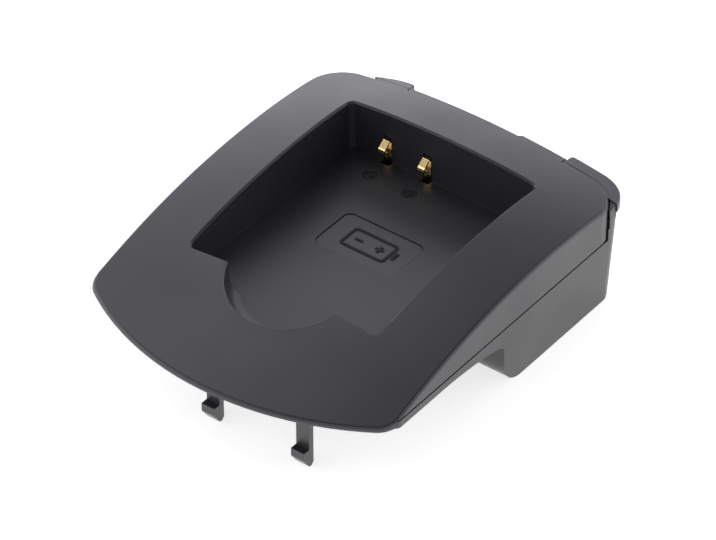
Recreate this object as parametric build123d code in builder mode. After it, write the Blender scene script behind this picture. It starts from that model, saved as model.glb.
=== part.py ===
import math
import os

from build123d import *

# Plan of the plate: X across, Y from the nose to the finger grips, Z up
plate_length = 72.0
front_width = 58.0
rear_width = 56.7
nose_radius = 50.0
nose_corner_radius = 4.2
rear_corner_radius = 6.0
grip_reach = 2.5
tongue_reach = 1.2
rear_centre = 1.7
tongue_width = 29.6
tab_shift = 5.9
tab_rise = 0.55

# Heights and the arched, crowned top
top_height = 21.17
apex_setback = 50.62
nose_slope = 17.2
crown_radius = 156.0
deck_height = 10.1
lip_thickness = 1.2
rim_thickness = 1.27
floor_thickness = 0.9

# Battery pocket and finger scoop
pocket_width = 36.0
pocket_shift = -0.27
pocket_front_setback = 20.45
pocket_rear_setback = 10.85
pocket_corner_radius = 1.0
scoop_radius = 10.9
scoop_cove = 4.0
scoop_setback = 3.49
label_width = 15.2
label_length = 9.4
label_depth = 0.25
label_shift = -0.33
label_setback = 1.9
label_corner_radius = 1.4
mark_diameter = 2.5
mark_depth = 0.2
mark_setback = 4.49
mark_shift = -0.14

# Walls, edge roundings and fits
skirt_thickness = 1.5
top_thickness = 1.5
plate_edge = 1.8
tub_wall = 1.3
box_wall = 1.7
edge_radius = 0.6
lip_bevel = 0.5
tongue_bevel = 0.25
mouth_bevel = 0.3
seam_gap = 0.3
fit_gap = 0.2
lap_height = 0.9
lap_thickness = 0.6

# How far cutting shapes reach past the part, and the Z of the normal of upright and level faces
cut_reach = 10.0
upright_lean = 0.01
level_lean = 0.9

# Lower housing
box_setback = 38.1
box_front_radius = 4.5
box_rear_radius = 3.5
box_corner_radius = 3.4
deck_cove = 1.0
rear_draft = 7.5
draft_slack = 0.015
rear_foot_inset = 4.1
rim_setback = 10.7
rim_corner_radius = 1.2
post_inset = 6.8
post_jog = 0.3
post_jog_height = 2.1
grip_thickness = 1.5
grip_side_reach = 0.35
grip_side_length = 4.6
grip_corner_radius = 5.8
grip_end_radius = 0.6
grip_bevel = 0.15
left_grip_setback = 0.6
left_grip_inset = 2.4
left_grip_radius = 12.0

# Snap hooks under the nose
hook_width = 2.5
hook_thickness = 1.0
hook_setback = 5.66
hook_spacing = 17.17
hook_middle = 6.61
barb_reach = 1.3
barb_height = 3.3
barb_face = 1.45
tip_bevel = 0.45
hook_gusset = 0.9
hook_root = 0.5

# Battery contacts
strip_width = 1.25
strip_thickness = 0.3
strip_bend = 0.45
contact_spacing = 7.75
contact_middle = -7.18
contact_rise = 4.7
contact_reach = 1.95
contact_nose_rise = 2.85
contact_end_rise = 2.0
channel_depth = 0.55
channel_margin = 0.25
floor_slot_length = 0.95

# Circuit board and what it carries
board_side_gap = 1.6
board_rear_gap = 1.2
board_thickness = 1.0
board_height = 4.0
board_setback = 2.4
stand_diameter = 3.2
pin_diameter = 1.2
pin_inset = 2.4
pin_rise = 0.4
resistor_length = 3.2
resistor_width = 1.6
resistor_height = 0.6
resistor_pitch = 6.0
resistor_setback = 12.0
tail_rise = 0.6

# Contacts in the underside that meet the charger base
pad_count = 4
pad_width = 2.4
pad_length = 9.0
pad_thickness = 0.4
pad_pitch = 5.6
pad_recess = 0.5
pad_setback = 6.0
tail_width = 1.2

# Case screws
boss_diameter = 5.0
boss_setback = 15.5
screw_diameter = 2.0
screw_length = 11.0
head_diameter = 3.8
head_height = 1.4
head_depth = 4.4
screw_fit = 0.1
head_fit = 0.2
pilot_spare = 0.4

# Places along the plate, and heights
nose_y = -plate_length / 2
grip_y = plate_length / 2
corner_y = grip_y - grip_reach
tongue_y = corner_y + tongue_reach
tab_x = rear_centre + tab_shift
front_half = front_width / 2
rear_half = rear_width / 2
shoulder_y = nose_y + nose_radius - math.sqrt(nose_radius**2 - front_half**2)
rim_y = nose_y + rim_setback
post_y = grip_y - post_inset
grip_end_y = grip_y - grip_side_length
box_y = nose_y + box_setback
foot_y = grip_y - rear_foot_inset
seam_height = deck_height + rim_thickness
floor_height = deck_height + floor_thickness
clear_height = top_height + cut_reach
clear_width = front_width + 2 * cut_reach

# Run of the arch, and its edge flats
slope = math.radians(nose_slope)
lip_height = deck_height + lip_thickness
apex_y = nose_y + apex_setback
arch_rise = top_height - lip_height
arch_radius = (apex_setback * math.tan(slope) - arch_rise) / (1 / math.cos(slope) - 1)
straight_end_y = apex_y - arch_radius * math.sin(slope)
straight_end_z = top_height - arch_radius * (1 - math.cos(slope))
ridge_start_y = nose_y - cut_reach
ridge_start_z = lip_height - cut_reach * math.tan(slope)
ridge_end_y = grip_y + cut_reach
ridge_end_z = top_height - arch_radius + math.sqrt(arch_radius**2 - (ridge_end_y - apex_y) ** 2)
rear_y = (post_y + grip_y) / 2
rear_slope = math.asin((rear_y - apex_y) / arch_radius)
rear_z = top_height - arch_radius * (1 - math.cos(rear_slope))
edge_bevel = edge_radius * (2 - math.sqrt(2))
edge_break = edge_radius * (math.tan(math.pi / 8) - math.tan(math.pi / 16))
ceiling_drop = top_thickness + crown_radius - math.sqrt(crown_radius**2 - front_half**2)

# Pocket, tub, board and screws
pocket_front = nose_y + pocket_front_setback
pocket_rear = grip_y - pocket_rear_setback
pocket_length = pocket_rear - pocket_front
pocket_middle = (pocket_front + pocket_rear) / 2
tub_width = pocket_width + 2 * tub_wall
tub_length = pocket_length + 2 * tub_wall
tub_corner_radius = pocket_corner_radius + tub_wall
scoop_y = pocket_front + scoop_setback
scoop_floor = scoop_radius - scoop_cove
scoop_shell = scoop_cove + floor_thickness
hook_front = nose_y + hook_setback
contact_xs = [contact_middle - contact_spacing / 2, contact_middle + contact_spacing / 2]
boss_x = (tub_width / 2 + rear_half - skirt_thickness) / 2
boss_y = box_y + boss_setback
draft = math.tan(math.radians(rear_draft))
inner_foot_y = foot_y - box_wall + box_wall * draft
board_front = box_y + box_wall + board_setback
board_length = inner_foot_y - board_rear_gap - board_front
board_width = 2 * (boss_x - boss_diameter / 2 - board_side_gap)
board_middle = board_front + board_length / 2
pad_xs = [pad_pitch * (n - (pad_count - 1) / 2) for n in range(pad_count)]
pad_y = board_front + pad_setback
channel_width = strip_width + 2 * channel_margin
pilot_depth = head_depth + screw_length + pilot_spare - seam_height
lap_front = box_y + box_wall
lap_width = rear_width - 2 * box_wall + 2 * lap_thickness
shell_top = rim_thickness + 2 * seam_gap
shell_edge = scoop_floor + math.sqrt(scoop_shell**2 - (scoop_shell - shell_top) ** 2)
boss_height = seam_height + seam_gap
board_top = board_height + board_thickness
pin_places = [
    (side * (board_width / 2 - pin_inset), board_middle + end * (board_length / 2 - pin_inset))
    for side in (-1, 1)
    for end in (-1, 1)
]
pinned_places = [pin_places[0], pin_places[-1]]
hollow_half = rear_half - box_wall
hollow_end_y = inner_foot_y + (top_height - box_wall) * draft
hollow_bevel = rear_corner_radius * (2 - math.sqrt(2))
strip_y = pocket_rear + channel_depth / 2
grip_corners = [
    (
        (left_grip_inset - rear_half, grip_y - left_grip_setback),
        rear_centre - tongue_width / 2 - fit_gap,
        left_grip_radius,
    ),
    (
        (rear_half + grip_side_reach, grip_y),
        rear_centre + tongue_width / 2 + fit_gap,
        grip_corner_radius,
    ),
]


# Half width of the plate at a place along its length
def half_width_at(y):
    return front_half + (rear_half - front_half) * (y - shoulder_y) / (corner_y - shoulder_y)


# Upright walls of a piece
def upright_faces(piece):
    return piece.faces().filter_by(lambda f: abs(f.normal_at().Z) < upright_lean)


# Faces of a piece that look up
def level_faces(piece):
    return piece.faces().filter_by(lambda f: f.normal_at().Z > level_lean)


# Edges that two sets of faces share, in a fixed order
def shared_edges(some, others):
    return (some.edges() & others.edges()).sort_by(Axis.Y).sort_by(Axis.X)


# Whether a place lies in the outline of the battery pocket or the scoop
def in_pocket(place):
    across = abs(place.X - pocket_shift)
    along = abs(place.Y - pocket_middle)
    in_box = across < pocket_width / 2 + fit_gap and along < pocket_length / 2 + fit_gap
    return in_box or math.hypot(across, place.Y - scoop_y) < scoop_radius + fit_gap


# Cross-section of all that lies deeper than a given drop under the top
def crown_section(drop):
    side = front_half + cut_reach
    shoulder = math.sqrt(crown_radius**2 - side**2) - crown_radius - drop
    bottom = -2 * clear_height
    with BuildSketch() as section:
        with BuildLine():
            Bezier((-side, shoulder), (0, -2 * drop - shoulder), (side, shoulder))
            Polyline((side, shoulder), (side, bottom), (-side, bottom), (-side, shoulder))
        make_face()
    return section.sketch


# All that lies deeper than a given drop under the rear end of the top, where the arch is nearly straight
def rear_body(drop):
    rear_plane = Plane(
        origin=(0, rear_y, rear_z),
        x_dir=(-1, 0, 0),
        z_dir=(0, math.cos(rear_slope), -math.sin(rear_slope)),
    )
    with BuildPart() as body:
        with BuildSketch(rear_plane.offset(-cut_reach)):
            add(crown_section(drop))
        extrude(amount=2 * cut_reach)
    return body.part


# Plan of the cover without its rear tongue
def cover_plan(grow):
    with BuildSketch() as plan:
        with BuildLine():
            ThreePointArc((-front_half, shoulder_y), (0, nose_y), (front_half, shoulder_y))
            Polyline(
                (front_half, shoulder_y),
                (rear_half, corner_y),
                (-rear_half, corner_y),
                (-front_half, shoulder_y),
            )
        make_face()
        fillet(plan.vertices().group_by(Axis.Y)[0], nose_corner_radius)
        fillet(plan.vertices().group_by(Axis.Y)[-1], rear_corner_radius)
        if grow != 0:
            offset(amount=grow, kind=Kind.INTERSECTION)
    return plan.sketch


# Plan of the cover's rear tongue between the finger grips
def tongue_plan():
    inner_y = corner_y - 2 * tongue_reach
    with BuildSketch() as plan:
        with Locations((rear_centre, inner_y)):
            Rectangle(tongue_width, tongue_y - inner_y, align=(Align.CENTER, Align.MIN))
    return plan.sketch


plate_body = rear_body(plate_edge)
post_body = rear_body(plate_edge + fit_gap)
grip_top_body = rear_body(0)
grip_under_body = rear_body(grip_thickness)
outer_plan = cover_plan(0)
inner_plan = cover_plan(-skirt_thickness)
gap_plan = cover_plan(fit_gap)

# Everything under the top: straight over the nose, then arched
with BuildPart() as top_body:
    with BuildLine(Plane.YZ):
        straight = Line((ridge_start_y, ridge_start_z), (straight_end_y, straight_end_z))
        TangentArc(
            (straight_end_y, straight_end_z),
            (ridge_end_y, ridge_end_z),
            tangent=(math.cos(slope), math.sin(slope)),
        )
    with BuildSketch(Plane(origin=straight @ 0, x_dir=(-1, 0, 0), z_dir=straight % 0)):
        add(crown_section(0))
    sweep()

# Everything under the ceiling of the hollow, arched but not crowned
with BuildPart() as ceiling_body:
    with BuildSketch(Plane.YZ.offset(-clear_width / 2)):
        with BuildLine():
            Polyline(
                (ridge_end_y, ridge_end_z - ceiling_drop),
                (ridge_end_y, -cut_reach),
                (ridge_start_y, -cut_reach),
                (ridge_start_y, ridge_start_z - ceiling_drop),
                (straight_end_y, straight_end_z - ceiling_drop),
            )
            TangentArc(
                (straight_end_y, straight_end_z - ceiling_drop),
                (ridge_end_y, ridge_end_z - ceiling_drop),
                tangent=(math.cos(slope), math.sin(slope)),
            )
        make_face()
    extrude(amount=clear_width)

# Space between the top, the skirts and the pocket walls
with BuildPart() as cover_hollow:
    with BuildSketch(Plane.XY.offset(seam_height)):
        add(inner_plan)
        with Locations((0, rim_y + skirt_thickness)):
            Rectangle(clear_width, plate_length, align=(Align.CENTER, Align.MIN), mode=Mode.INTERSECT)
    extrude(amount=clear_height)
    add(ceiling_body.part, mode=Mode.INTERSECT)
    with BuildSketch(Plane.XY.offset(seam_height)):
        with Locations((0, lap_front)):
            Rectangle(lap_width + 2 * fit_gap, post_y - lap_front, align=(Align.CENTER, Align.MIN))
    extrude(amount=lap_height + fit_gap)
    with BuildSketch(Plane.XY.offset(deck_height)):
        with Locations((pocket_shift, pocket_middle)):
            RectangleRounded(tub_width, tub_length, tub_corner_radius)
        with Locations((pocket_shift, scoop_y)):
            Circle(scoop_radius + floor_thickness)
        with Locations((-boss_x, boss_y), (boss_x, boss_y)):
            Circle(boss_diameter / 2)
    extrude(amount=clear_height, mode=Mode.SUBTRACT)

# Space at the rear that the posts of the housing fill
with BuildPart() as post_space:
    with BuildSketch(Plane.YZ.offset(-clear_width / 2)):
        with BuildLine():
            Polyline(
                (post_y, 0),
                (post_y, seam_height + post_jog_height),
                (post_y + post_jog, seam_height + post_jog_height),
                (post_y + post_jog, clear_height),
                (grip_y + cut_reach, clear_height),
                (grip_y + cut_reach, 0),
                close=True,
            )
        make_face()
    extrude(amount=clear_width)
    add(plate_body, mode=Mode.INTERSECT)

# Tongue with the tab at its right end
with BuildPart() as cover_tongue:
    with BuildSketch(Plane.XY.offset(deck_height)):
        add(tongue_plan())
        with BuildLine():
            Polyline(
                (rear_centre - tongue_width, tongue_y - tab_rise),
                (tab_x, tongue_y - tab_rise),
                (tab_x + 2 * tab_rise, tongue_y + tab_rise),
                (rear_centre - tongue_width, tongue_y + tab_rise),
                close=True,
            )
        make_face(mode=Mode.SUBTRACT)
    extrude(amount=clear_height)
    add(top_body.part, mode=Mode.INTERSECT)
    add(plate_body, mode=Mode.SUBTRACT)
    rears = upright_faces(cover_tongue).filter_by(lambda f: f.normal_at().Y > upright_lean)
    chamfer(shared_edges(rears, level_faces(cover_tongue)), tongue_bevel)

# Top cover with the battery pocket, the scoop and the snap hooks
with BuildPart() as top_cover:
    with BuildSketch(Plane.XY.offset(deck_height)):
        add(outer_plan)
    extrude(amount=clear_height)
    add(top_body.part, mode=Mode.INTERSECT)
    # Bevel under the nose, and an upper edge rounded in three narrow flats
    chamfer(top_cover.edges().group_by(Axis.Z)[0].sort_by(Axis.Y)[0], lip_bevel)
    chamfer(shared_edges(upright_faces(top_cover), level_faces(top_cover)), edge_bevel)
    flats = top_cover.faces().filter_by(lambda f: upright_lean < f.normal_at().Z < level_lean)
    upper_edges = shared_edges(flats, level_faces(top_cover))
    lower_edges = shared_edges(flats, upright_faces(top_cover))
    chamfer(upper_edges + lower_edges, edge_break)
    # Room for the rim of the housing under the skirts
    with BuildSketch():
        with Locations((0, rim_y - fit_gap)):
            Rectangle(clear_width, 2 * plate_length, align=(Align.CENTER, Align.MIN))
    extrude(amount=seam_height + seam_gap, mode=Mode.SUBTRACT)
    add(cover_hollow.part, mode=Mode.SUBTRACT)
    add(post_space.part, mode=Mode.SUBTRACT)
    add(cover_tongue.part)
    # Tub under the pocket and shell under the scoop
    with BuildSketch(Plane.XY.offset(deck_height)):
        with Locations((pocket_shift, pocket_middle)):
            RectangleRounded(tub_width, tub_length, tub_corner_radius)
    extrude(amount=2 * rim_thickness)
    with BuildSketch(Plane.XZ.offset(-scoop_y)):
        with BuildLine():
            Polyline(
                (pocket_shift, deck_height + shell_top),
                (pocket_shift, deck_height),
                (pocket_shift + scoop_floor, deck_height),
                (pocket_shift + shell_edge, deck_height + shell_top),
                close=True,
            )
        make_face()
    revolve(axis=Axis((pocket_shift, scoop_y, 0), (0, 0, 1)))
    # Pocket and scoop
    with BuildSketch(Plane.XY.offset(floor_height)):
        with Locations((pocket_shift, pocket_middle)):
            RectangleRounded(pocket_width, pocket_length, pocket_corner_radius)
    extrude(amount=clear_height, mode=Mode.SUBTRACT)
    with BuildSketch(Plane.XZ.offset(-scoop_y)):
        with BuildLine():
            Polyline(
                (pocket_shift, clear_height),
                (pocket_shift, floor_height),
                (pocket_shift + scoop_floor, floor_height),
            )
            TangentArc(
                (pocket_shift + scoop_floor, floor_height),
                (pocket_shift + scoop_radius, floor_height + scoop_cove),
                tangent=(1, 0),
            )
            Polyline(
                (pocket_shift + scoop_radius, floor_height + scoop_cove),
                (pocket_shift + scoop_radius, clear_height),
                (pocket_shift, clear_height),
            )
        make_face()
    revolve(axis=Axis((pocket_shift, scoop_y, 0), (0, 0, 1)), mode=Mode.SUBTRACT)

    # Bevel round the mouth of the pocket and the scoop
    tops = level_faces(top_cover).filter_by(lambda f: f.center().Z > floor_height + fit_gap)
    mouth = tops.edges().filter_by(lambda e: in_pocket(e.center()))
    chamfer(mouth, mouth_bevel)
    # Label recess and the two round pits of the polarity signs
    with BuildSketch(Plane.XY.offset(floor_height - label_depth)):
        with Locations((pocket_shift + label_shift, pocket_middle + label_setback)):
            RectangleRounded(label_width, label_length, label_corner_radius)
    extrude(amount=floor_thickness, mode=Mode.SUBTRACT)
    with BuildSketch(Plane.XY.offset(floor_height - mark_depth)):
        with Locations([(x + mark_shift, pocket_rear - mark_setback) for x in contact_xs]):
            Circle(mark_diameter / 2)
    extrude(amount=floor_thickness, mode=Mode.SUBTRACT)
    # Channels in the rear wall and slots in the floor for the battery contacts
    with BuildSketch(Plane.XY.offset(floor_height)):
        with Locations([(x, pocket_rear) for x in contact_xs]):
            Rectangle(channel_width, 2 * channel_depth)
    extrude(amount=contact_rise + channel_margin, mode=Mode.SUBTRACT)
    with BuildSketch(Plane.XY.offset(deck_height)):
        with Locations([(x, pocket_rear + channel_depth) for x in contact_xs]):
            Rectangle(channel_width, channel_depth + floor_slot_length, align=(Align.CENTER, Align.MAX))
    extrude(amount=2 * floor_thickness, mode=Mode.SUBTRACT)
    # Pilot holes of the case screws
    with BuildSketch(Plane.XY.offset(seam_height)):
        with Locations((-boss_x, boss_y), (boss_x, boss_y)):
            Circle(screw_diameter / 2 + screw_fit)
    extrude(amount=pilot_depth, mode=Mode.SUBTRACT)
    # Snap hooks
    with BuildSketch(Plane.YZ.offset(hook_middle - (hook_spacing + hook_width) / 2)) as hook_side:
        with BuildLine():
            Polyline(
                (hook_front, lip_height - hook_root),
                (hook_front, barb_height),
                (hook_front - barb_reach, barb_height),
                (hook_front - barb_reach, barb_height - barb_face),
                (hook_front, 0),
                (hook_front + hook_thickness - tip_bevel, 0),
                (hook_front + hook_thickness, tip_bevel),
                (hook_front + hook_thickness, deck_height - hook_gusset),
                (hook_front + hook_thickness + hook_gusset, deck_height),
                (hook_front + hook_thickness + hook_gusset, lip_height - hook_root),
                close=True,
            )
        make_face()
    extrude(amount=hook_width)
    with BuildSketch(Plane.YZ.offset(hook_middle + (hook_spacing - hook_width) / 2)):
        add(hook_side.sketch_local)
    extrude(amount=hook_width)
    top_cover.part.label = "top_cover"

# Lower housing: drafted box body, side view and its hollow
with BuildPart() as housing_hollow:
    with BuildSketch(Plane.YZ.offset(box_wall - rear_half)) as hollow_side:
        with BuildLine():
            Polyline(
                (box_y + box_wall, box_wall),
                (inner_foot_y, box_wall),
                (inner_foot_y + clear_height * draft, box_wall + clear_height),
                (box_y + box_wall, box_wall + clear_height),
                close=True,
            )
        make_face()
        fillet(hollow_side.vertices().group_by(Axis.Y)[0], box_rear_radius - box_wall)
    extrude(amount=rear_width - 2 * box_wall)
    with BuildSketch():
        with BuildLine():
            Polyline(
                (hollow_half, box_y),
                (hollow_half, hollow_end_y - hollow_bevel),
                (hollow_half - hollow_bevel, hollow_end_y),
                (hollow_bevel - hollow_half, hollow_end_y),
                (-hollow_half, hollow_end_y - hollow_bevel),
                (-hollow_half, box_y),
                close=True,
            )
        make_face()
    extrude(amount=2 * clear_height, mode=Mode.INTERSECT)

with BuildPart() as grips:
    with BuildSketch(Plane.XY.offset(deck_height)) as grip_plan:
        for corner, inner_x, radius in grip_corners:
            with BuildLine():
                Polyline(
                    corner,
                    (inner_x, corner[1]),
                    (inner_x, pocket_front),
                    (corner[0], pocket_front),
                    close=True,
                )
            make_face()
            fillet(grip_plan.vertices().sort_by_distance(corner)[0], radius)
            fillet(grip_plan.vertices().sort_by_distance((inner_x, corner[1]))[0], grip_end_radius)
        with Locations((0, grip_end_y)):
            Rectangle(clear_width, plate_length, align=(Align.CENTER, Align.MAX), mode=Mode.SUBTRACT)
        add(gap_plan, mode=Mode.SUBTRACT)
    extrude(amount=clear_height)
    add(grip_top_body, mode=Mode.INTERSECT)
    rears = upright_faces(grips).filter_by(lambda f: f.normal_at().Y > upright_lean)
    chamfer(shared_edges(rears, level_faces(grips)), grip_bevel)
    add(grip_under_body, mode=Mode.SUBTRACT)

with BuildPart() as post_trim:
    with BuildSketch(Plane.XY.offset(seam_height + rim_thickness)):
        with Locations((0, post_y)):
            Rectangle(clear_width, plate_length, align=(Align.CENTER, Align.MIN))
        add(grip_plan.sketch_local, mode=Mode.SUBTRACT)
    extrude(amount=clear_height)
    add(post_body, mode=Mode.SUBTRACT)

with BuildPart() as grip_trim:
    with BuildSketch(Plane.XY.offset(seam_height + rim_thickness)):
        with Locations((0, post_y)):
            Rectangle(clear_width, plate_length, align=(Align.CENTER, Align.MIN))
    extrude(amount=clear_height)
    add(grip_top_body, mode=Mode.SUBTRACT)

with BuildPart() as housing_side:
    with BuildSketch(Plane.YZ.offset(-clear_width / 2)) as box_side:
        with BuildLine():
            Polyline(
                (ridge_start_y, deck_height),
                (box_y, deck_height),
                (box_y, 0),
                (foot_y + draft_slack, 0),
                (foot_y + draft_slack + clear_height * draft, clear_height),
                (post_y + seam_gap + post_jog, clear_height),
                (post_y + seam_gap + post_jog, seam_height + post_jog_height),
                (post_y + seam_gap, seam_height + post_jog_height),
                (post_y + seam_gap, seam_height),
                (ridge_start_y, seam_height),
                close=True,
            )
        make_face()
        under_corner = box_side.vertices().sort_by_distance((box_y, deck_height))[0]
        fillet(under_corner, deck_cove)
        front_corner = box_side.vertices().sort_by_distance((box_y, 0))[0]
        fillet(front_corner, box_front_radius)
        rear_corner = box_side.vertices().sort_by_distance((foot_y + draft_slack, 0))[0]
        fillet(rear_corner, box_rear_radius)
    extrude(amount=clear_width)

with BuildPart() as lower_housing:
    with BuildSketch() as housing_plan:
        with BuildLine():
            Polyline(
                (half_width_at(rim_y), rim_y),
                (half_width_at(ridge_end_y), ridge_end_y),
                (-half_width_at(ridge_end_y), ridge_end_y),
                (-half_width_at(rim_y), rim_y),
                close=True,
            )
        make_face()
        fillet(housing_plan.vertices().group_by(Axis.Y)[0], rim_corner_radius)
    extrude(amount=clear_height)
    with BuildSketch(Plane.YZ.offset(-clear_width / 2)):
        with BuildLine():
            Polyline(
                (foot_y, 0),
                (foot_y + clear_height * draft, clear_height),
                (ridge_start_y, clear_height),
                (ridge_start_y, 0),
                close=True,
            )
        make_face()
    extrude(amount=clear_width, mode=Mode.INTERSECT)
    rear_edges = lower_housing.faces().sort_by(Axis.Y)[-1].edges().sort_by(Axis.X)
    fillet([rear_edges[0], rear_edges[-1]], box_corner_radius)
    add(housing_side.part, mode=Mode.INTERSECT)
    add(housing_hollow.part, mode=Mode.SUBTRACT)
    add(post_trim.part, mode=Mode.SUBTRACT)
    add(grip_trim.part, mode=Mode.SUBTRACT)
    add(grips.part)
    # Opening that the tub of the cover drops into
    with BuildSketch(Plane.XY.offset(deck_height - fit_gap)):
        with Locations((pocket_shift, pocket_middle)):
            RectangleRounded(tub_width + 2 * fit_gap, tub_length + 2 * fit_gap, tub_corner_radius)
        with Locations((pocket_shift, scoop_y)):
            Circle(shell_edge + fit_gap)
    extrude(amount=rim_thickness + 2 * fit_gap, mode=Mode.SUBTRACT)
    # Lap that stands inside the skirts of the cover
    with BuildSketch(Plane.XY.offset(seam_height - lap_height)):
        with Locations((0, lap_front)):
            Rectangle(lap_width, post_y - fit_gap - lap_front, align=(Align.CENTER, Align.MIN))
            Rectangle(
                lap_width - 2 * lap_thickness,
                post_y - fit_gap - lap_front,
                align=(Align.CENTER, Align.MIN),
                mode=Mode.SUBTRACT,
            )
    extrude(amount=2 * lap_height)
    # Bosses and stands
    with BuildSketch(Plane.XY.offset(box_wall / 2)):
        with Locations((-boss_x, boss_y), (boss_x, boss_y)):
            Circle(boss_diameter / 2)
    extrude(amount=boss_height - box_wall / 2)
    with BuildSketch(Plane.XY.offset(box_wall / 2)):
        with Locations(pin_places):
            Circle(stand_diameter / 2)
    extrude(amount=board_height - box_wall / 2)
    with BuildSketch(Plane.XY.offset(box_wall / 2)):
        with Locations(pinned_places):
            Circle(pin_diameter / 2)
    extrude(amount=board_top + pin_rise - box_wall / 2)
    # Screw holes with deep counterbores
    with BuildSketch():
        with Locations((-boss_x, boss_y), (boss_x, boss_y)):
            Circle(screw_diameter / 2 + screw_fit)
    extrude(amount=clear_height, mode=Mode.SUBTRACT)
    with BuildSketch():
        with Locations((-boss_x, boss_y), (boss_x, boss_y)):
            Circle(head_diameter / 2 + head_fit)
    extrude(amount=head_depth, mode=Mode.SUBTRACT)
    # Windows of the base contacts
    with BuildSketch():
        with Locations([(x, pad_y) for x in pad_xs]):
            Rectangle(pad_width + 2 * fit_gap, pad_length + 2 * fit_gap)
    extrude(amount=pad_recess, mode=Mode.SUBTRACT)
    with BuildSketch():
        with Locations([(x, pad_y) for x in pad_xs]):
            Rectangle(tail_width + 2 * screw_fit, pad_thickness + 2 * screw_fit)
    extrude(amount=2 * box_wall, mode=Mode.SUBTRACT)
    lower_housing.part.label = "lower_housing"

# Circuit board on the stands
with BuildPart() as circuit_board:
    with BuildSketch(Plane.XY.offset(board_height)):
        with Locations((0, board_middle)):
            Rectangle(board_width, board_length)
        with Locations(pinned_places):
            Circle(pin_diameter / 2 + screw_fit, mode=Mode.SUBTRACT)
        with Locations([(x, pad_y) for x in pad_xs]):
            Rectangle(tail_width + 2 * screw_fit, pad_thickness + 2 * screw_fit, mode=Mode.SUBTRACT)
        with Locations([(x, strip_y) for x in contact_xs]):
            Rectangle(strip_width + 2 * screw_fit, strip_thickness + 2 * screw_fit, mode=Mode.SUBTRACT)
    extrude(amount=board_thickness)
    circuit_board.part.label = "circuit_board"

# The two self-tapping case screws
with BuildPart() as case_screws:
    with BuildSketch(Plane.XY.offset(head_depth - head_height)):
        with Locations((-boss_x, boss_y), (boss_x, boss_y)):
            Circle(head_diameter / 2)
    extrude(amount=head_height)
    with BuildSketch(Plane.XY.offset(head_depth)):
        with Locations((-boss_x, boss_y), (boss_x, boss_y)):
            Circle(screw_diameter / 2)
    extrude(amount=screw_length)
    case_screws.part.label = "case_screws"


# Chip resistor that tells the base which battery is in
def code_resistor(x):
    with BuildPart() as resistor:
        with BuildSketch(Plane.XY.offset(board_top)):
            with Locations((x, board_front + resistor_setback)):
                Rectangle(resistor_length, resistor_width)
        extrude(amount=resistor_height)
    return resistor.part


# Folded leaf spring from the board, up the rear wall and over to the battery
def battery_contact(x):
    with BuildPart() as contact:
        with BuildLine(Plane.YZ.offset(x)) as path:
            FilletPolyline(
                (strip_y, board_height - tail_rise),
                (strip_y, floor_height + contact_rise),
                (pocket_rear - contact_reach, floor_height + contact_nose_rise),
                (pocket_rear - strip_thickness, floor_height + contact_end_rise),
                radius=strip_bend,
            )
        with BuildSketch(Plane(origin=path.line @ 0, x_dir=(1, 0, 0), z_dir=path.line % 0)):
            Rectangle(strip_width, strip_thickness)
        sweep()
    return contact.part


# Flat contact under the box with a tail up to the board
def base_contact(x):
    with BuildPart() as contact:
        with BuildSketch(Plane.XY.offset(pad_recess - pad_thickness)):
            with Locations((x, pad_y)):
                Rectangle(pad_width, pad_length)
        extrude(amount=pad_thickness)
        with BuildSketch(Plane.XY.offset(pad_recess - pad_thickness)):
            with Locations((x, pad_y)):
                Rectangle(tail_width, pad_thickness)
        extrude(amount=board_top + tail_rise - pad_recess + pad_thickness)
    return contact.part


battery_contact_negative = battery_contact(contact_xs[0])
battery_contact_negative.label = "battery_contact_negative"
battery_contact_positive = battery_contact(contact_xs[1])
battery_contact_positive.label = "battery_contact_positive"
code_resistor_left = code_resistor(-resistor_pitch / 2)
code_resistor_left.label = "code_resistor_left"
code_resistor_right = code_resistor(resistor_pitch / 2)
code_resistor_right.label = "code_resistor_right"

os.makedirs("parts", exist_ok=True)
export_step(top_cover.part, "parts/top_cover.step")
export_step(lower_housing.part, "parts/lower_housing.step")
export_step(circuit_board.part, "parts/circuit_board.step")
export_step(code_resistor_left, "parts/code_resistor_left.step")
export_step(code_resistor_right, "parts/code_resistor_right.step")
export_step(case_screws.part, "parts/case_screws.step")
export_step(battery_contact_negative, "parts/battery_contact_negative.step")
export_step(battery_contact_positive, "parts/battery_contact_positive.step")
for number, x in enumerate(pad_xs, start=1):
    pad = base_contact(x)
    pad.label = f"base_contact_{number}"
    export_step(pad, f"parts/base_contact_{number}.step")
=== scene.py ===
import math

import bmesh
import bpy
from mathutils import Matrix, Vector
from mathutils.bvhtree import BVHTree


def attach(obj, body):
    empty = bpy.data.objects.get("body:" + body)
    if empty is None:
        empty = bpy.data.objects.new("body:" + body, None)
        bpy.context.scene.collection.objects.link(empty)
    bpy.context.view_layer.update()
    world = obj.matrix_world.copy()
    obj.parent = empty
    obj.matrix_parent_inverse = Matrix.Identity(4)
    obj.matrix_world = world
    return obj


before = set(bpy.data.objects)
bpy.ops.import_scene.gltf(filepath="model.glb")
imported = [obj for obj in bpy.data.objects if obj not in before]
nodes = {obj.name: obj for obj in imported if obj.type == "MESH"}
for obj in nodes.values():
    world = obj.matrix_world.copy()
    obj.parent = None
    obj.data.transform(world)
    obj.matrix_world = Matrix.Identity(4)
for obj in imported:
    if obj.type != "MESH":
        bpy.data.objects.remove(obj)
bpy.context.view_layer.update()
scene = bpy.context.scene
scene.view_settings.view_transform = "Standard"
mm = 0.001
noiseLow, noiseHigh = 0.3, 0.7  # where most of a noise texture's values lie


def hexColour(code):  # sRGB hex to linear RGBA
    parts = [int(code[i:i + 2], 16) / 255 for i in (0, 2, 4)]
    return [p / 12.92 if p <= 0.04045 else ((p + 0.055) / 1.055) ** 2.4 for p in parts] + [1.0]


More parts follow.
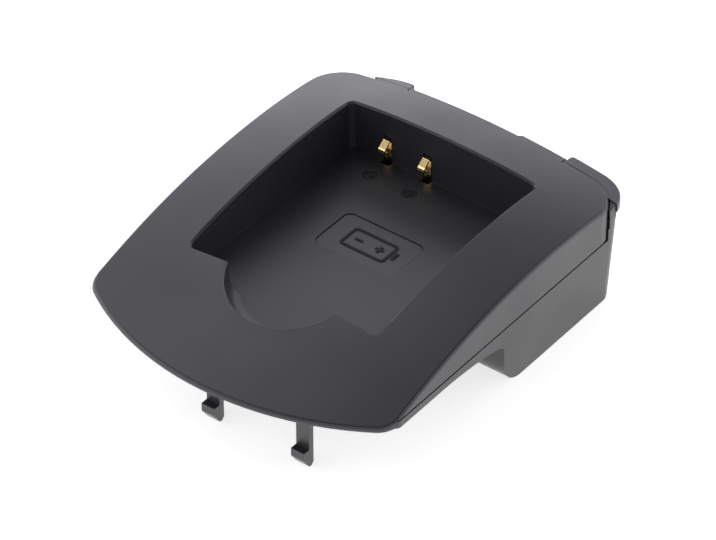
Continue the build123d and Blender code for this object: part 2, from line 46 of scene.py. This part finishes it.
def addNode(tree, kind, inputs=None, **settings):  # a node with its settings, values and links
    node = tree.nodes.new(kind)
    for key, value in settings.items():
        setattr(node, key, value)
    for key, value in (inputs or {}).items():
        if isinstance(value, bpy.types.NodeSocket):
            tree.links.new(value, node.inputs[key])
        else:
            node.inputs[key].default_value = value
    return node


def startMaterial(name):  # an empty material and its object coordinates
    material = bpy.data.materials.new(name)
    material.use_nodes = True
    tree = material.node_tree
    tree.nodes.clear()
    where = addNode(tree, "ShaderNodeTexCoord").outputs["Object"]
    return material, tree, where


# Camera: long lens, looking down on the right front corner
cameraValues = {
    "eye": (0.41343, -0.5339, 0.5517),
    "azimuth": 37.595,
    "elevation": 38.712,
    "roll": -0.13,
    "lens": 283.3,
    "sensor": 36.0,
    "clip": (0.05, 20.0),
}
cameraData = bpy.data.cameras.new("plateCamera")
cameraData.lens = cameraValues["lens"]
cameraData.sensor_width = cameraValues["sensor"]
cameraData.sensor_fit = "HORIZONTAL"
cameraData.clip_start, cameraData.clip_end = cameraValues["clip"]
camera = bpy.data.objects.new("plateCamera", cameraData)
scene.collection.objects.link(camera)
camera.matrix_world = (
    Matrix.Translation(cameraValues["eye"])
    @ Matrix.Rotation(math.radians(cameraValues["azimuth"]), 4, "Z")
    @ Matrix.Rotation(math.radians(90 - cameraValues["elevation"]), 4, "X")
    @ Matrix.Rotation(math.radians(cameraValues["roll"]), 4, "Z")
)
scene.camera = camera
print("camera placed")

# Studio: a white sweep, bright low down and dim overhead,
# with soft boxes behind, above and before the left side
studioValues = {
    "tint": "F5F5FF",
    "backdrop": "FFFFFF",
    "horizon": 2.15,
    "ceiling": 0.3,
    "bright": 0.2,  # sine of the elevation where the walls begin to dim
    "dim": 0.775,
    "rearLeft": (-0.63, 0.77, 0.0),
    "farSide": 0.75,  # share of the light that comes from the side away from rearLeft
    "sideTurn": (-0.4, 0.7),  # cosines to rearLeft between which the light changes
    "boxes": {  # power, side and place
        "rearBox": (1.6, 0.8, (-0.8, 1.0, 0.45)),
        "highBox": (2.0, 0.7, (-0.55, 0.2, 1.0)),
        "frontBox": (1.1, 0.4, (-0.76, -0.96, 0.95)),
    },
    "floorColour": "F4F4EF",
    "floorShown": 0.66,
    "floorMirrored": 1.0,
    "floorReach": 3.0,  # m, half its side
    "floorDrop": 0.02,  # mm below the plate, so that the two don't share a plane
}
world = bpy.data.worlds.new("studio")
scene.world = world
world.use_nodes = True
sky = world.node_tree
sky.nodes.clear()
look = addNode(sky, "ShaderNodeTexCoord").outputs["Generated"]
height = addNode(sky, "ShaderNodeSeparateXYZ", {"Vector": look}).outputs["Z"]
rise = addNode(
    sky, "ShaderNodeMapRange",
    {
        "Value": height,
        "From Min": studioValues["bright"],
        "From Max": studioValues["dim"],
        "To Min": studioValues["horizon"],
        "To Max": studioValues["ceiling"],
    },
    interpolation_type="SMOOTHSTEP",
).outputs["Result"]
facing = addNode(
    sky, "ShaderNodeVectorMath", {0: look, 1: studioValues["rearLeft"]}, operation="DOT_PRODUCT"
).outputs["Value"]
turnLow, turnHigh = studioValues["sideTurn"]
side = addNode(
    sky, "ShaderNodeMapRange",
    {
        "Value": facing,
        "From Min": turnLow,
        "From Max": turnHigh,
        "To Min": studioValues["farSide"],
        "To Max": 1.0,
    },
    interpolation_type="SMOOTHSTEP",
).outputs["Result"]
level = addNode(sky, "ShaderNodeMath", {0: rise, 1: side}, operation="MULTIPLY").outputs["Value"]
skyPath = addNode(sky, "ShaderNodeLightPath")
shown = addNode(
    sky, "ShaderNodeMix", {"Factor": skyPath.outputs["Is Camera Ray"], "A": level, "B": 1.0}
).outputs["Result"]
tint = addNode(
    sky, "ShaderNodeMix",
    {
        "Factor": skyPath.outputs["Is Camera Ray"],
        "A": hexColour(studioValues["tint"]),
        "B": hexColour(studioValues["backdrop"]),
    },
    data_type="RGBA",
).outputs["Result"]
backdrop = addNode(sky, "ShaderNodeBackground", {"Color": tint, "Strength": shown})
addNode(sky, "ShaderNodeOutputWorld", {"Surface": backdrop.outputs["Background"]})

for name, (power, size, place) in studioValues["boxes"].items():
    boxLight = bpy.data.lights.new(name, "AREA")
    boxLight.energy = power
    boxLight.size = size
    softBox = bpy.data.objects.new(name, boxLight)
    scene.collection.objects.link(softBox)
    softBox.location = place
    softBox.rotation_euler = Vector(place).to_track_quat("Z", "Y").to_euler()

floorMesh = bpy.data.meshes.new("paperFloor")
reach = studioValues["floorReach"]
corners = [(-reach, -reach, 0), (reach, -reach, 0), (reach, reach, 0), (-reach, reach, 0)]
floorMesh.from_pydata(corners, [], [(0, 1, 2, 3)])
floor = bpy.data.objects.new("paperFloor", floorMesh)
floor.location.z = -studioValues["floorDrop"] * mm
scene.collection.objects.link(floor)
# Matt paper sweep: even white with a soft shadow
paper, tree = startMaterial("whitePaperSweep")[:2]
path = addNode(tree, "ShaderNodeLightPath")
mirrored = addNode(
    tree, "ShaderNodeMath",
    {0: path.outputs["Is Glossy Ray"], 1: path.outputs["Is Transmission Ray"]},
    operation="MAXIMUM",
).outputs["Value"]
mirrored = addNode(
    tree, "ShaderNodeMath", {0: mirrored, 1: studioValues["floorMirrored"]}, operation="MULTIPLY"
).outputs["Value"]
glow = addNode(
    tree, "ShaderNodeMath",
    {0: path.outputs["Is Camera Ray"], 1: studioValues["floorShown"], 2: mirrored},
    operation="MULTIPLY_ADD",
).outputs["Value"]
matt = addNode(tree, "ShaderNodeBsdfDiffuse", {"Color": hexColour(studioValues["floorColour"])})
lit = addNode(
    tree, "ShaderNodeEmission", {"Color": hexColour(studioValues["backdrop"]), "Strength": glow}
)
both = addNode(tree, "ShaderNodeAddShader", {0: matt.outputs[0], 1: lit.outputs[0]})
addNode(tree, "ShaderNodeOutputMaterial", {"Surface": both.outputs[0]})
floorMesh.materials.append(paper)
print("studio lit")

# Black ABS from a fine spark-eroded mould: satin sheen, even grain, edges rubbed smoother, a little dust
absValues = {
    "colour": "232326",
    "rubbed": "343437",
    "dust": "77777A",
    "roughness": (0.36, 0.44),
    "rubbedRoughness": 0.3,
    "rubbedLean": (0.99, 0.85),  # cosines of the edge's lean, from untouched to fully rubbed
    "cloudSize": 14.0,
    "cloudDetail": 3.0,
    "edgeRadius": 0.06,
    "edgeSamples": 6,
    "grainSize": 0.35,  # the real grain is near 0.05 mm, drawn coarser so that it shows
    "grainDetail": 2.0,
    "grainDepth": 0.006,
    "grainStrength": 0.5,
    "dustSpacing": 6.5,
    "dustRadius": 0.09,
    "dustShare": 0.2,
    "ior": 1.6,
}


def mouldedAbs(name, values):
    material, tree, where = startMaterial(name)
    soft = addNode(
        tree, "ShaderNodeBevel", {"Radius": values["edgeRadius"] * mm}, samples=values["edgeSamples"]
    ).outputs["Normal"]
    flat = addNode(tree, "ShaderNodeNewGeometry").outputs["Normal"]
    along = addNode(
        tree, "ShaderNodeVectorMath", {0: soft, 1: flat}, operation="DOT_PRODUCT"
    ).outputs["Value"]
    untouched, worn = values["rubbedLean"]
    rubbed = addNode(
        tree, "ShaderNodeMapRange",
        {"Value": along, "From Min": untouched, "From Max": worn, "To Min": 0.0, "To Max": 1.0},
    ).outputs["Result"]
    cloud = addNode(
        tree, "ShaderNodeTexNoise",
        {"Vector": where, "Scale": 1 / (values["cloudSize"] * mm), "Detail": values["cloudDetail"]},
    ).outputs["Fac"]
    low, high = values["roughness"]
    rough = addNode(
        tree, "ShaderNodeMapRange",
        {"Value": cloud, "From Min": noiseLow, "From Max": noiseHigh, "To Min": low, "To Max": high},
    ).outputs["Result"]
    rough = addNode(
        tree, "ShaderNodeMix", {"Factor": rubbed, "A": rough, "B": values["rubbedRoughness"]}
    ).outputs["Result"]
    cells = addNode(
        tree, "ShaderNodeTexVoronoi",
        {"Vector": where, "Scale": 1 / (values["dustSpacing"] * mm)},
        feature="F1",
    )
    near = addNode(
        tree, "ShaderNodeMath",
        {0: cells.outputs["Distance"], 1: values["dustRadius"] / values["dustSpacing"]},
        operation="LESS_THAN",
    ).outputs["Value"]
    pick = addNode(tree, "ShaderNodeSeparateColor", {"Color": cells.outputs["Color"]}).outputs["Red"]
    pick = addNode(
        tree, "ShaderNodeMath", {0: pick, 1: values["dustShare"]}, operation="LESS_THAN"
    ).outputs["Value"]
    dust = addNode(tree, "ShaderNodeMath", {0: near, 1: pick}, operation="MULTIPLY").outputs["Value"]
    colour = addNode(
        tree, "ShaderNodeMix",
        {"Factor": rubbed, "A": hexColour(values["colour"]), "B": hexColour(values["rubbed"])},
        data_type="RGBA",
    ).outputs["Result"]
    colour = addNode(
        tree, "ShaderNodeMix",
        {"Factor": dust, "A": colour, "B": hexColour(values["dust"])},
        data_type="RGBA",
    ).outputs["Result"]
    grain = addNode(
        tree, "ShaderNodeTexNoise",
        {"Vector": where, "Scale": 1 / (values["grainSize"] * mm), "Detail": values["grainDetail"]},
    ).outputs["Fac"]
    bump = addNode(
        tree, "ShaderNodeBump",
        {
            "Height": grain,
            "Strength": values["grainStrength"],
            "Distance": values["grainDepth"] * mm,
            "Normal": soft,
        },
    ).outputs["Normal"]
    surface = addNode(
        tree, "ShaderNodeBsdfPrincipled",
        {"Base Color": colour, "Roughness": rough, "Normal": bump, "IOR": values["ior"]},
    )
    addNode(tree, "ShaderNodeOutputMaterial", {"Surface": surface.outputs[0]})
    return material


housingValues = {**absValues, "roughness": (0.34, 0.42)}
fieldValues = {**absValues, "colour": "313134", "dustShare": 0.0}
# Dark sign colour: painted shade where it fills the polarity pits, plain print on the label's battery sign
darkSignAndPitShadeValues = {
    **absValues,
    "colour": "0E0E10",
    "rubbed": "141416",
    "roughness": (0.75, 0.85),
    "dustShare": 0.0,
}
coverAbs = mouldedAbs("satinBlackAbsCover", absValues)  # soft sheen that fades from the rear to the nose
housingAbs = mouldedAbs("satinBlackAbsHousing", housingValues)  # a shade glossier
labelAbs = mouldedAbs("fineMattAbsLabel", fieldValues)  # a paler field
darkSignAndPitShadeAbs = mouldedAbs("deadMattAbsSignsAndPaintedPitShade", darkSignAndPitShadeValues)  # dead matt and darker than the plastic: painted shade of the engraved polarity pits, and the print of the battery sign
print("plastic mixed")

# Hard gold on spring bronze: pale warm mirror, softened by rolling marks along the strip
giltValues = {
    "colour": "FFE0A0",
    "roughness": (0.17, 0.23),
    "rollPitch": 0.12,
    "rollStretch": (1.0, 0.08, 0.08),
    "rollDetail": 2.0,
}
gilt, tree, where = startMaterial("goldPlatedSpringBronze")
stretch = addNode(
    tree, "ShaderNodeMapping", {"Vector": where, "Scale": giltValues["rollStretch"]}
).outputs["Vector"]
rolled = addNode(
    tree, "ShaderNodeTexNoise",
    {"Vector": stretch, "Scale": 1 / (giltValues["rollPitch"] * mm), "Detail": giltValues["rollDetail"]},
).outputs["Fac"]
low, high = giltValues["roughness"]
rough = addNode(
    tree, "ShaderNodeMapRange",
    {"Value": rolled, "From Min": noiseLow, "From Max": noiseHigh, "To Min": low, "To Max": high},
).outputs["Result"]
surface = addNode(
    tree, "ShaderNodeBsdfPrincipled",
    {"Base Color": hexColour(giltValues["colour"]), "Metallic": 1.0, "Roughness": rough},
)
addNode(tree, "ShaderNodeOutputMaterial", {"Surface": surface.outputs[0]})

# Glass-epoxy board under green solder mask: glossy, with the weave just showing
boardValues = {"mask": "1E5A34", "weave": "2A6B40", "weavePitch": 0.6, "roughness": 0.32}
boardMask, tree, where = startMaterial("greenSolderMaskBoard")
weave = addNode(
    tree, "ShaderNodeTexChecker",
    {
        "Vector": where,
        "Color1": hexColour(boardValues["mask"]),
        "Color2": hexColour(boardValues["weave"]),
        "Scale": 1 / (boardValues["weavePitch"] * mm),
    },
).outputs["Color"]
surface = addNode(
    tree, "ShaderNodeBsdfPrincipled", {"Base Color": weave, "Roughness": boardValues["roughness"]}
)
addNode(tree, "ShaderNodeOutputMaterial", {"Surface": surface.outputs[0]})

# Chip resistors: fired black glass over ceramic, with tinned ends
chipValues = {"glass": "17171A", "tin": "B9BAB8", "bodyHalf": 1.15, "pitch": 6.0, "roughness": 0.3}
chip, tree, where = startMaterial("glazedChipResistor")
across = addNode(tree, "ShaderNodeSeparateXYZ", {"Vector": where}).outputs["X"]
across = addNode(tree, "ShaderNodeMath", {0: across}, operation="ABSOLUTE").outputs["Value"]
away = addNode(
    tree, "ShaderNodeMath", {0: across, 1: chipValues["pitch"] / 2 * mm}, operation="SUBTRACT"
).outputs["Value"]
away = addNode(tree, "ShaderNodeMath", {0: away}, operation="ABSOLUTE").outputs["Value"]
tinned = addNode(
    tree, "ShaderNodeMath", {0: away, 1: chipValues["bodyHalf"] * mm}, operation="GREATER_THAN"
).outputs["Value"]
colour = addNode(
    tree, "ShaderNodeMix",
    {"Factor": tinned, "A": hexColour(chipValues["glass"]), "B": hexColour(chipValues["tin"])},
    data_type="RGBA",
).outputs["Result"]
surface = addNode(
    tree, "ShaderNodeBsdfPrincipled",
    {"Base Color": colour, "Metallic": tinned, "Roughness": chipValues["roughness"]},
)
addNode(tree, "ShaderNodeOutputMaterial", {"Surface": surface.outputs[0]})

# Zinc-plated screw steel: grey metal with a cloudy plating
zincValues = {"colour": "B4B6B8", "roughness": (0.28, 0.42), "cloudSize": 0.25, "cloudDetail": 2.0}
zinc, tree, where = startMaterial("zincPlatedScrewSteel")
plating = addNode(
    tree, "ShaderNodeTexNoise",
    {"Vector": where, "Scale": 1 / (zincValues["cloudSize"] * mm), "Detail": zincValues["cloudDetail"]},
).outputs["Fac"]
low, high = zincValues["roughness"]
rough = addNode(
    tree, "ShaderNodeMapRange",
    {"Value": plating, "From Min": noiseLow, "From Max": noiseHigh, "To Min": low, "To Max": high},
).outputs["Result"]
surface = addNode(
    tree, "ShaderNodeBsdfPrincipled",
    {"Base Color": hexColour(zincValues["colour"]), "Metallic": 1.0, "Roughness": rough},
)
addNode(tree, "ShaderNodeOutputMaterial", {"Surface": surface.outputs[0]})
print("metals and board mixed")


def roundedOutline(width, length, radius, steps):  # corner arcs of a rectangle about the origin, in mm
    points = []
    for turn in range(4):
        sideX = (width / 2 - radius) * (1 if turn in (0, 3) else -1)
        sideY = (length / 2 - radius) * (1 if turn in (0, 1) else -1)
        for step in range(steps + 1):
            angle = math.pi / 2 * (turn + step / steps)
            points.append((sideX + radius * math.cos(angle), sideY + radius * math.sin(angle)))
    return points


def crossOutline(span, bar):  # plus sign
    far, near = span / 2, bar / 2
    return [
        (far, -near), (far, near), (near, near), (near, far), (-near, far), (-near, near),
        (-far, near), (-far, -near), (-near, -near), (-near, -far), (near, -far), (near, -near),
    ]


def addLoop(shape, outline, middle, height):  # a ring of points, in mm
    return [shape.verts.new(((x + middle[0]) * mm, (y + middle[1]) * mm, height * mm)) for x, y in outline]


def addWalls(shape, lower, upper):  # quads between two rings
    for k in range(len(lower)):
        shape.faces.new((lower[k - 1], lower[k], upper[k], upper[k - 1]))


def addSolid(shape, outline, middle, low, high, slope=0.04):  # a flat solid with a sloped upper edge
    foot = addLoop(shape, outline, middle, low)
    shoulder = addLoop(shape, outline, middle, high - slope)
    widest = max(max(abs(x), abs(y)) for x, y in outline)
    small = 1 - slope / widest
    crest = addLoop(shape, [(x * small, y * small) for x, y in outline], middle, high)
    addWalls(shape, foot, shoulder)
    addWalls(shape, shoulder, crest)
    shape.faces.new(crest)
    shape.faces.new(foot[::-1])


def addSweep(shape, rings):  # walls along a run of rings, closed at both ends
    shape.faces.new(rings[0])
    for before, after in zip(rings, rings[1:]):
        addWalls(shape, before, after)
    shape.faces.new(rings[-1][::-1])


def addFrame(shape, outer, inner, middle, low, high):  # a flat solid with a hole
    rings = [addLoop(shape, outline, middle, z) for z in (low, high) for outline in (outer, inner)]
    outerFoot, innerFoot, outerCrest, innerCrest = rings
    addWalls(shape, outerFoot, outerCrest)
    addWalls(shape, innerCrest, innerFoot)
    addWalls(shape, outerCrest, innerCrest)
    addWalls(shape, innerFoot, outerFoot)


def addPiece(name, shape, finish):  # a finished piece on the plate
    bmesh.ops.recalc_face_normals(shape, faces=shape.faces)
    mesh = bpy.data.meshes.new(name)
    shape.to_mesh(mesh)
    shape.free()
    mesh.materials.append(finish)
    piece = bpy.data.objects.new(name, mesh)
    scene.collection.objects.link(piece)
    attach(piece, "root")


# Label field in its recess in the pocket floor, with a plain battery sign
labelValues = {
    "middle": (-0.6, 6.7),
    "width": 15.0,
    "length": 9.2,
    "corner": 1.3,
    "low": 10.75,
    "high": 10.84,
    "signSink": 0.02,
    "signRise": 0.1,
    "battery": (8.6, 4.8),
    "batteryCorner": 0.7,
    "line": 0.5,
    "stud": (0.7, 1.9),
    "studCorner": 0.2,
    "studGap": 0.25,
    "signSpan": 1.6,
    "signSpread": 4.0,
    "barCorner": 0.1,
}
field = bmesh.new()
fieldOutline = roundedOutline(labelValues["width"], labelValues["length"], labelValues["corner"], steps=6)
addSolid(field, fieldOutline, labelValues["middle"], labelValues["low"], labelValues["high"])
addPiece("labelField", field, labelAbs)

middleX, middleY = labelValues["middle"]
signLow = labelValues["high"] - labelValues["signSink"]
signHigh = labelValues["high"] + labelValues["signRise"]
wide, deep = labelValues["battery"]
line = labelValues["line"]
batterySign = bmesh.new()
corner = labelValues["batteryCorner"]
outer = roundedOutline(wide, deep, corner, steps=4)
inner = roundedOutline(wide - 2 * line, deep - 2 * line, corner - line / 2, steps=4)
addFrame(batterySign, outer, inner, labelValues["middle"], signLow, signHigh)
studWide, studDeep = labelValues["stud"]
stud = roundedOutline(studWide, studDeep, labelValues["studCorner"], steps=3)
studX = middleX + (wide + studWide) / 2 + labelValues["studGap"]
addSolid(batterySign, stud, (studX, middleY), signLow, signHigh)
bar = roundedOutline(labelValues["signSpan"], line, labelValues["barCorner"], steps=2)
addSolid(batterySign, bar, (middleX - labelValues["signSpread"] / 2, middleY), signLow, signHigh)
plus = crossOutline(labelValues["signSpan"], line)
addSolid(batterySign, plus, (middleX + labelValues["signSpread"] / 2, middleY), signLow, signHigh)
addPiece("batterySign", batterySign, darkSignAndPitShadeAbs)
print("label laid in")

# Polarity signs in their rings, which fill the two round pits before the contacts; their dark colour is
# painted shade of the pits
polarityValues = {
    "minusPlace": (-11.195, 20.66),
    "plusPlace": (-3.445, 20.66),
    "low": 10.79,
    "high": 10.96,
    "ring": 2.4,
    "line": 0.4,
    "span": 1.0,
    "barCorner": 0.1,
    "crossLine": 0.32,
}
ring = polarityValues["ring"]
hole = ring - 2 * polarityValues["line"]
ringOuter = roundedOutline(ring, ring, ring / 2, steps=8)
ringInner = roundedOutline(hole, hole, hole / 2, steps=8)
minusBar = roundedOutline(
    polarityValues["span"], polarityValues["line"], polarityValues["barCorner"], steps=2
)
plusCross = crossOutline(polarityValues["span"], polarityValues["crossLine"])
low, high = polarityValues["low"], polarityValues["high"]
for name, place, sign in (("minusSignPaintedShade", "minusPlace", minusBar), ("plusSignPaintedShade", "plusPlace", plusCross)):
    shape = bmesh.new()
    addFrame(shape, ringOuter, ringInner, polarityValues[place], low, high)
    addSolid(shape, sign, polarityValues[place], low, high)
    addPiece(name, shape, darkSignAndPitShadeAbs)
print("polarity signs set")

# Thin ribs along the finger grips that close their joints on the rounded edge of the cover
ribValues = {
    "cornerMiddle": (22.35, 27.5),
    "cornerRadius": 6.1,  # middle of the joint
    "rightStart": 16.75,
    "rightEnd": 31.55,  # along the plate, where the right grip ends
    "leftSpan": (-19.6, -13.35),
    "inside": 0.48,
    "outside": 0.12,
    "sink": 0.03,
    "depth": 0.7,
    "probe": 1.2,  # how far inside the cover its height and slope are read
    "rightSteps": 12,
    "leftSteps": 6,
}
probeStart = 50  # mm, well above the plate
probeTrees = []
for name in ("top_cover", "lower_housing"):
    mesh = nodes[name].data
    points = [v.co.copy() for v in mesh.vertices]
    probeTrees.append(BVHTree.FromPolygons(points, [tuple(p.vertices) for p in mesh.polygons]))
coverTree, housingTree = probeTrees


def heightAt(tree, x, y):  # height of a CAD node at a place in plan, in mm
    hit = tree.ray_cast(Vector((x * mm, y * mm, probeStart * mm)), Vector((0, 0, -1)))[0]
    return hit.z / mm


def addRib(name, run):  # run: places along the joint with the direction out of the cover
    shape = bmesh.new()
    far = ribValues["probe"]
    rings = []
    for (x, y), (outX, outY) in run:
        inner = heightAt(coverTree, x - far * outX, y - far * outY)
        deeper = heightAt(coverTree, x - 2 * far * outX, y - 2 * far * outY)
        slope = (inner - deeper) / far
        ring = []
        for off, drop in (
            (-ribValues["inside"], ribValues["sink"]),
            (ribValues["outside"], ribValues["sink"]),
            (ribValues["outside"], ribValues["depth"]),
            (0.0, ribValues["depth"]),
        ):
            height = inner + slope * (off + far) - drop
            ring.append(shape.verts.new(((x + off * outX) * mm, (y + off * outY) * mm, height * mm)))
        rings.append(ring)
    addSweep(shape, rings)
    addPiece(name, shape, housingAbs)


cornerX, cornerY = ribValues["cornerMiddle"]
radius = ribValues["cornerRadius"]
rightRun = [((ribValues["rightStart"], cornerY + radius), (0.0, 1.0))]
turn = math.pi / 2 - math.asin((ribValues["rightEnd"] - cornerY) / radius)
steps = ribValues["rightSteps"]
for step in range(steps + 1):
    angle = math.pi / 2 - turn * step / steps
    out = (math.cos(angle), math.sin(angle))
    rightRun.append(((cornerX + radius * out[0], cornerY + radius * out[1]), out))
addRib("rightGripRib", rightRun)
low, high = ribValues["leftSpan"]
steps = ribValues["leftSteps"]
leftRun = [
    ((low + (high - low) * step / steps, cornerY + radius), (0.0, 1.0)) for step in range(steps + 1)
]
addRib("leftGripRib", leftRun)

# Heel under the front end of the right grip, between the round corner of the cover and the side wall
heelValues = {
    "front": 29.8,
    "rear": 31.5,
    "side": 28.36,
    "jointRadius": 6.2,
    "depth": 2.4,
    "rearDrop": 0.1,
    "frontDrop": 0.6,
    "probe": (27.9, 32.2),  # on the grip
    "steps": 8,
}
gripTop = heightAt(housingTree, *heelValues["probe"])
front, rear = heelValues["front"], heelValues["rear"]
heelPlan = [(heelValues["side"], rear), (heelValues["side"], front)]
for step in range(heelValues["steps"] + 1):
    y = front + (rear - front) * step / heelValues["steps"]
    heelPlan.append((cornerX + math.sqrt(heelValues["jointRadius"] ** 2 - (y - cornerY) ** 2), y))
heel = bmesh.new()
foot, crest = [], []
tilt = (heelValues["frontDrop"] - heelValues["rearDrop"]) / (rear - front)
for x, y in heelPlan:
    drop = heelValues["rearDrop"] + tilt * (rear - y)
    foot.append(heel.verts.new((x * mm, y * mm, (gripTop - heelValues["depth"]) * mm)))
    crest.append(heel.verts.new((x * mm, y * mm, (gripTop - drop) * mm)))
addWalls(heel, foot, crest)
heel.faces.new(crest)
heel.faces.new(foot[::-1])
addPiece("rightGripHeel", heel, housingAbs)
print("grip ribs and heel set")

# Cheeks under both rims, which deepen towards the contact box and run into it in a cove
cheekValues = {
    "front": -13.5,
    "boxFace": 2.1,
    "deck": 10.1,
    "seat": 0.05,
    "frontHalf": 28.85,  # half widths of the housing at both ends
    "boxHalf": 28.68,
    "thickness": 0.65,  # stays outside the gap for the charger base
    "taper": 1.7,
    "cove": 0.8,
    "coveSharpness": 24,
    "steps": 18,
}
front, steps = cheekValues["front"], cheekValues["steps"]
top = cheekValues["deck"] + cheekValues["seat"]
for name, hand in (("rightCheek", 1), ("leftCheek", -1)):
    cheek = bmesh.new()
    rings = []
    for step in range(steps + 1):
        share = 1 - (1 - step / steps) ** 2  # closer together near the box
        y = front + (cheekValues["boxFace"] - front) * share
        outX = cheekValues["frontHalf"] + (cheekValues["boxHalf"] - cheekValues["frontHalf"]) * share
        inX = outX - cheekValues["thickness"]
        cove = cheekValues["cove"] * share ** cheekValues["coveSharpness"]
        bottom = cheekValues["deck"] - cheekValues["taper"] * share ** 2 - cove
        rings.append([
            cheek.verts.new((hand * x * mm, y * mm, z * mm))
            for x, z in ((outX, top), (outX, bottom), (inX, bottom), (inX, top))
        ])
    addSweep(cheek, rings)
    addPiece(name, cheek, housingAbs)
print("rim cheeks set")

# Finishes of the CAD nodes: the ones that aren't named here are the contacts, which are gilt
finishOf = {
    "top_cover": coverAbs,
    "lower_housing": housingAbs,
    "circuit_board": boardMask,
    "code_resistor_left": chip,
    "code_resistor_right": chip,
    "case_screws": zinc,
}
for name, part in nodes.items():
    part.data.materials.clear()
    part.data.materials.append(finishOf.get(name, gilt))
# Large faces lead the shading of the cover, so that slivers of its mesh don't show
evenShade = nodes["top_cover"].modifiers.new("evenShade", "WEIGHTED_NORMAL")
evenShade.mode = "FACE_AREA"
evenShade.weight = 50
evenShade.keep_sharp = True
print("finishes on", len(nodes), "CAD nodes")
